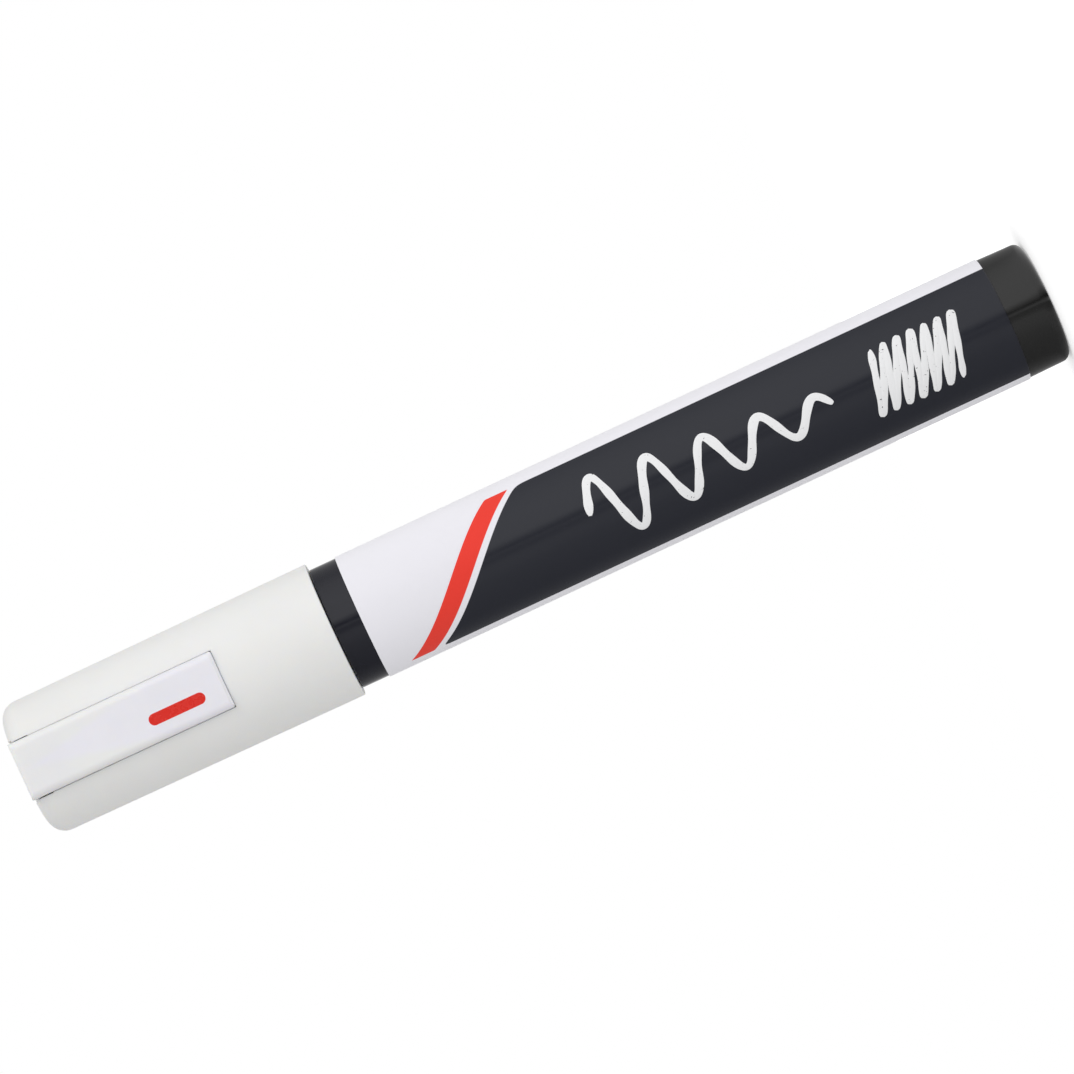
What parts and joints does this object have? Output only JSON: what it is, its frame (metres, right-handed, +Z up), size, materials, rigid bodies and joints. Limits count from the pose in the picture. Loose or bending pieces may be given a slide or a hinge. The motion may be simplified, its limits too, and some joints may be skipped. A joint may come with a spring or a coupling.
{
  "type": "liquid chalk marker",
  "caption": "Liquid chalk marker: printed round barrel, pull-off cap with pocket clip and seal liner, bullet nib, and a spring-loaded pump valve and mixing ball inside.",
  "frame": {"origin": "centre of the tail's end face, on the surface that the capped marker stands on", "axes": "+Z up along the marker from the tail to the cap's closed end, -Y towards the clip"},
  "size_m": [0.0178, 0.0184, 0.14],
  "materials": {
    "cap_white": "fine matte moulded plastic, warm white",
    "clip_white": "satin moulded plastic, cool white",
    "black_plastic": "glossy black moulded plastic",
    "label_film": "glossy printed film, white with a black panel and red accents",
    "liner_plastic": "milky moulded plastic",
    "nib_fibre": "bonded white fibre, loaded with white ink",
    "sleeve_plastic": "milky moulded plastic",
    "valve_plastic": "natural white moulded plastic",
    "valve_rubber": "matte black rubber",
    "spring_steel": "drawn stainless wire",
    "ball_steel": "polished stainless ball"
  },
  "bodies": {
    "marker": {"barrel": "black_plastic", "barrel_label": "label_film", "tail_plug": "black_plastic", "nose_section": "black_plastic", "nib_sleeve": "sleeve_plastic", "valve_body": "valve_plastic", "valve_cage": "valve_plastic", "valve_spring": "spring_steel"},
    "cap": {"cap_shell": "cap_white", "inner_cap": "liner_plastic"},
    "clip": {"cap_clip": "clip_white"},
    "nib": {"nib": "nib_fibre"},
    "valve": {"valve_rod": "valve_plastic", "valve_packing": "valve_rubber"},
    "ball": {"mixing_ball": "ball_steel"}
  },
  "joints": [
    {"name": "cap_pull", "type": "slide", "parent": "marker", "child": "cap", "axis": [0, 0, 1], "range_m": [0, 0.045]},
    {"name": "clip_flex", "type": "hinge", "parent": "cap", "child": "clip", "pos_m": [0, -0.00538, 0.13852], "axis": [-1, 0, 0], "range_deg": [0, 4], "stiffness_Nm_per_rad": 1, "springref_deg": -0.57},
    {"name": "nib_press", "type": "slide", "parent": "marker", "child": "nib", "axis": [0, 0, -1], "range_m": [0, 0.0015]},
    {"name": "valve_lift", "type": "slide", "parent": "marker", "child": "valve", "axis": [0, 0, -1], "range_m": [0, 0.0015], "stiffness_N_per_m": 660, "springref_m": -0.002, "deforming": ["valve_spring"]},
    {"name": "ball_roll", "type": "slide", "parent": "marker", "child": "ball", "axis": [0, 0, 1], "range_m": [0, 0.075]}
  ],
  "couplings": [
    {"joint": "valve_lift", "follows": "nib_press", "ratio": 1}
  ]
}
